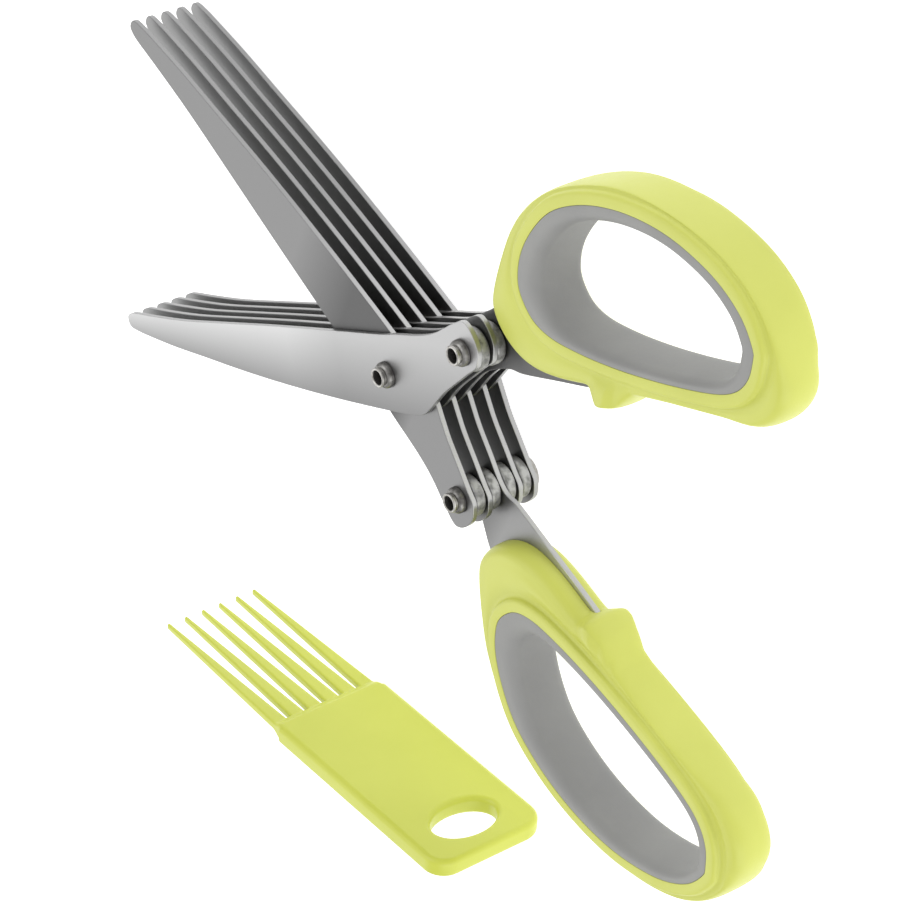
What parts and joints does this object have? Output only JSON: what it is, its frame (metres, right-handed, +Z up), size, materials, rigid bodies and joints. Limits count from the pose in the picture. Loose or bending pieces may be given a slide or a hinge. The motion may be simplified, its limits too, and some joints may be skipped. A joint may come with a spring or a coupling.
{
  "type": "herb scissors",
  "caption": "Multi-blade herb scissors with moulded finger loops and soft liners, a riveted pivot, and a loose cleaning comb standing beside them.",
  "frame": {"origin": "on the pivot axis, at the underside of the pivot rivet's flat head, in the plane of the table", "axes": "+Z up along the pivot axis; +Y along the middle line of the open jaws, towards the tips; +X towards the handle of half a"},
  "size_m": [0.1521, 0.1775, 0.0253],
  "materials": {
    "blade_steel": "brushed along the blade, satin",
    "rivet_steel": "bright, slightly blotched",
    "lime_plastic": "satin moulded plastic, lime yellow",
    "grey_grip": "matt soft-touch grip, mid grey",
    "comb_plastic": "satin moulded plastic, bright lime yellow"
  },
  "bodies": {
    "half_a": {"blade_a1": "blade_steel", "blade_a2": "blade_steel", "blade_a3": "blade_steel", "blade_a4": "blade_steel", "blade_a5": "blade_steel", "pivot_rivet": "rivet_steel", "pivot_spacer_1": "rivet_steel", "pivot_spacer_2": "rivet_steel", "pivot_spacer_3": "rivet_steel", "pivot_spacer_4": "rivet_steel", "rear_rivet_a": "rivet_steel", "rear_spacer_a1": "rivet_steel", "rear_spacer_a2": "rivet_steel", "rear_spacer_a3": "rivet_steel", "rear_spacer_a4": "rivet_steel", "handle_shell_a": "lime_plastic", "grip_liner_a": "grey_grip"},
    "half_b": {"blade_b1": "blade_steel", "blade_b2": "blade_steel", "blade_b3": "blade_steel", "blade_b4": "blade_steel", "blade_b5": "blade_steel", "rear_rivet_b": "rivet_steel", "rear_spacer_b1": "rivet_steel", "rear_spacer_b2": "rivet_steel", "rear_spacer_b3": "rivet_steel", "rear_spacer_b4": "rivet_steel", "handle_shell_b": "lime_plastic", "grip_liner_b": "grey_grip"},
    "cleaning_comb": {"cleaning_comb": "comb_plastic"}
  },
  "joints": [
    {"name": "jaw_pivot", "type": "hinge", "parent": "half_a", "child": "half_b", "pos_m": [0, 0, 0], "axis": [0, 0, 1], "range_deg": [-20.8, 43.8]},
    {"name": "comb_lift", "type": "slide", "parent": "half_a", "child": "cleaning_comb", "axis": [0, 0, 1], "range_m": [0, 0.06]}
  ]
}
